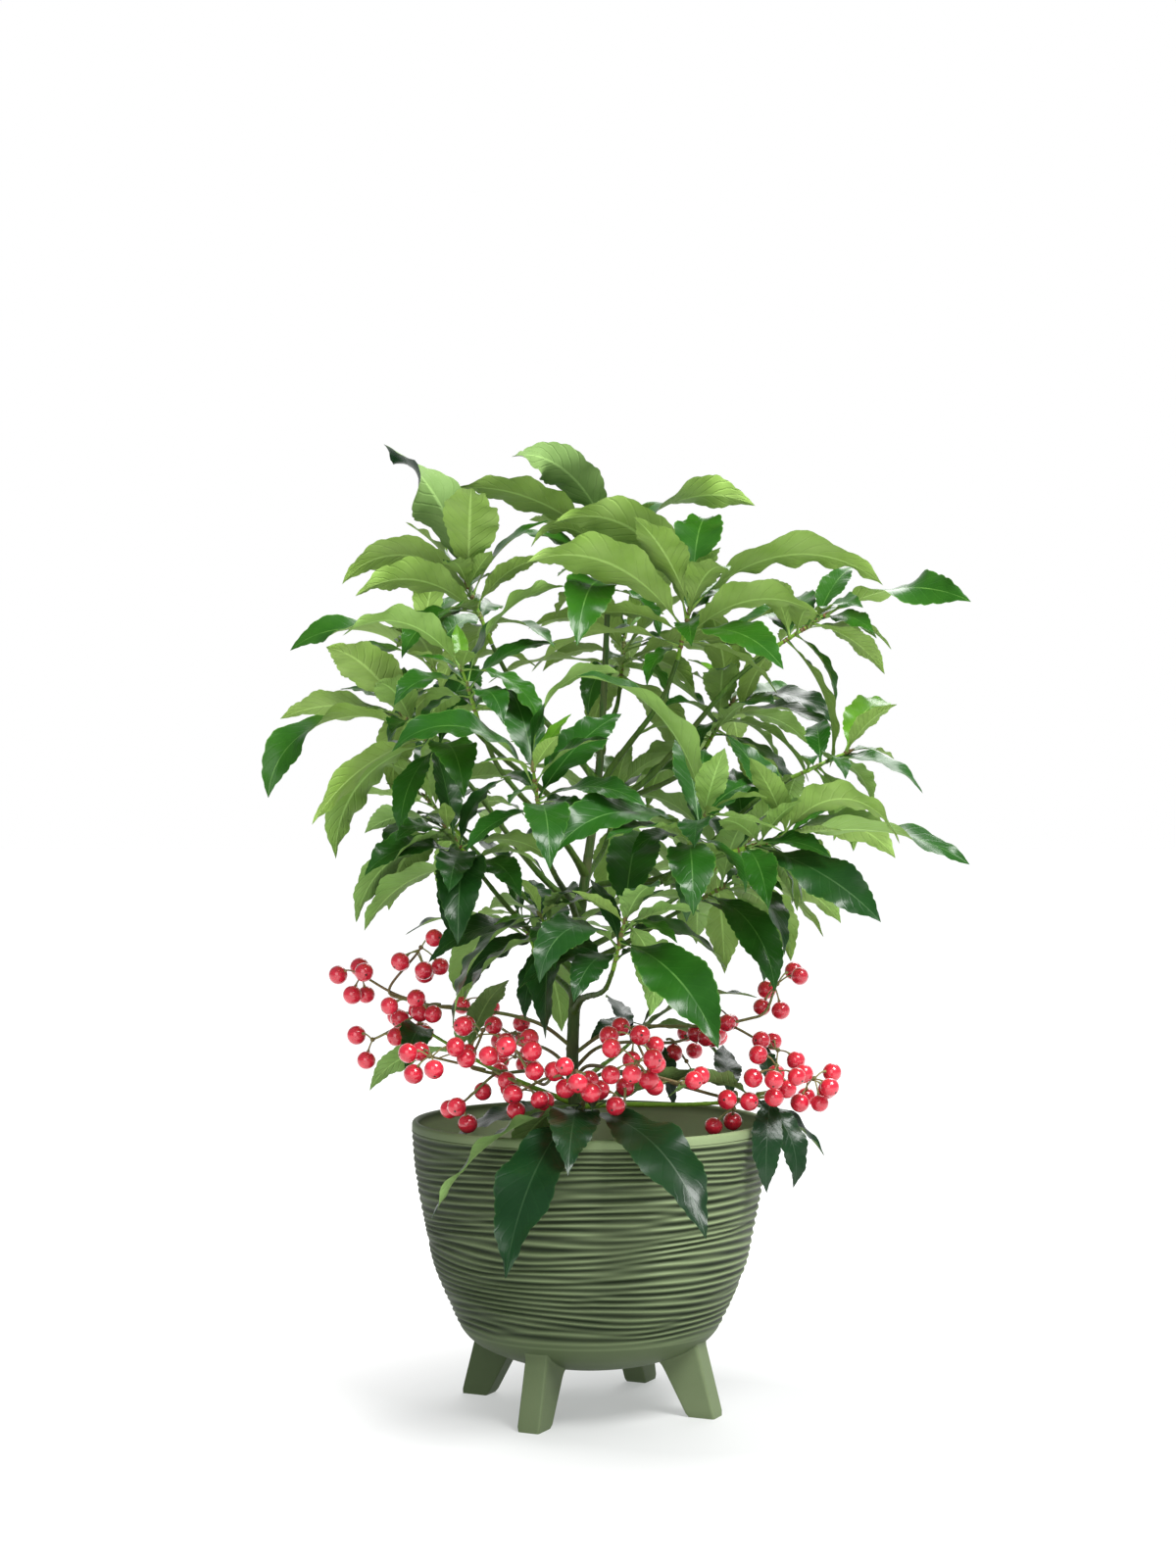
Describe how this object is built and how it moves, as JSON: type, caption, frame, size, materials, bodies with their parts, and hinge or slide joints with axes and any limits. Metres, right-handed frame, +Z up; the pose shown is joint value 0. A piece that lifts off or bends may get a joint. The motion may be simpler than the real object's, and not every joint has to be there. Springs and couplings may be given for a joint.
{
  "type": "potted ardisia",
  "caption": "Small evergreen shrub with whorls of long glossy leaves and drooping clusters of red berries, standing in a round ribbed pot on short splayed legs.",
  "frame": {"origin": "on the floor, under the middle of the whole plant's bounding box; the pot's axis stands a little to the side of it", "axes": "+Z up; +X to the right and +Y away from the viewer who faces the plant's front"},
  "size_m": [0.3468, 0.2866, 0.4834],
  "materials": {
    "pot_plastic": "satin sage-green moulded plastic",
    "soil": "dark crumbly potting soil",
    "bark": "thin green-brown bark with fine rings and specks",
    "green_bough": "smooth young green wood, reddish at the knots",
    "foliage": "glossy leathery leaves, paler underneath",
    "fruit": "glossy red berries on thin stalks"
  },
  "bodies": {
    "root": {"pot": "pot_plastic", "soil": "soil", "leg_1": "pot_plastic", "leg_2": "pot_plastic", "leg_3": "pot_plastic", "leg_4": "pot_plastic", "trunk": "bark", "bough_top_left": "green_bough", "bough_top_right": "green_bough", "bough_right_upper": "green_bough", "bough_back_centre": "green_bough", "bough_left_upper": "green_bough", "bough_left_front": "green_bough", "bough_right_back": "green_bough", "bough_left_mid": "green_bough", "bough_front_left": "green_bough", "bough_right_tip": "green_bough", "bough_back_low": "green_bough", "bough_left_back": "green_bough", "bough_front_right": "green_bough", "bough_right_front": "green_bough", "bough_left_low": "green_bough", "bough_right_outer": "green_bough", "bough_right_low": "green_bough", "bough_front_low": "green_bough", "bough_back_inner": "green_bough", "leaves_top_centre": "foliage", "leaves_top_left": "foliage", "leaves_top_right": "foliage", "leaves_right_upper": "foliage", "leaves_back_centre": "foliage", "leaves_left_upper": "foliage", "leaves_left_front": "foliage", "leaves_right_back": "foliage", "leaves_left_mid": "foliage", "leaves_front_left": "foliage", "leaves_right_tip": "foliage", "leaves_back_low": "foliage", "leaves_left_back": "foliage", "leaves_front_right": "foliage", "leaves_right_front": "foliage", "leaves_left_low": "foliage", "leaves_right_outer": "foliage", "leaves_right_low": "foliage", "leaves_left_inner": "foliage", "leaves_front_low": "foliage", "leaves_back_inner": "foliage", "leaves_low_left": "foliage", "leaves_low_back": "foliage", "leaves_low_right": "foliage", "leaves_low_front": "foliage", "berries_left": "fruit", "berries_front_left": "fruit", "berries_front": "fruit", "berries_front_right": "fruit", "berries_right_upper": "fruit", "berries_right": "fruit", "berries_back_left": "fruit", "berries_back_right": "fruit"}
  },
  "joints": []
}
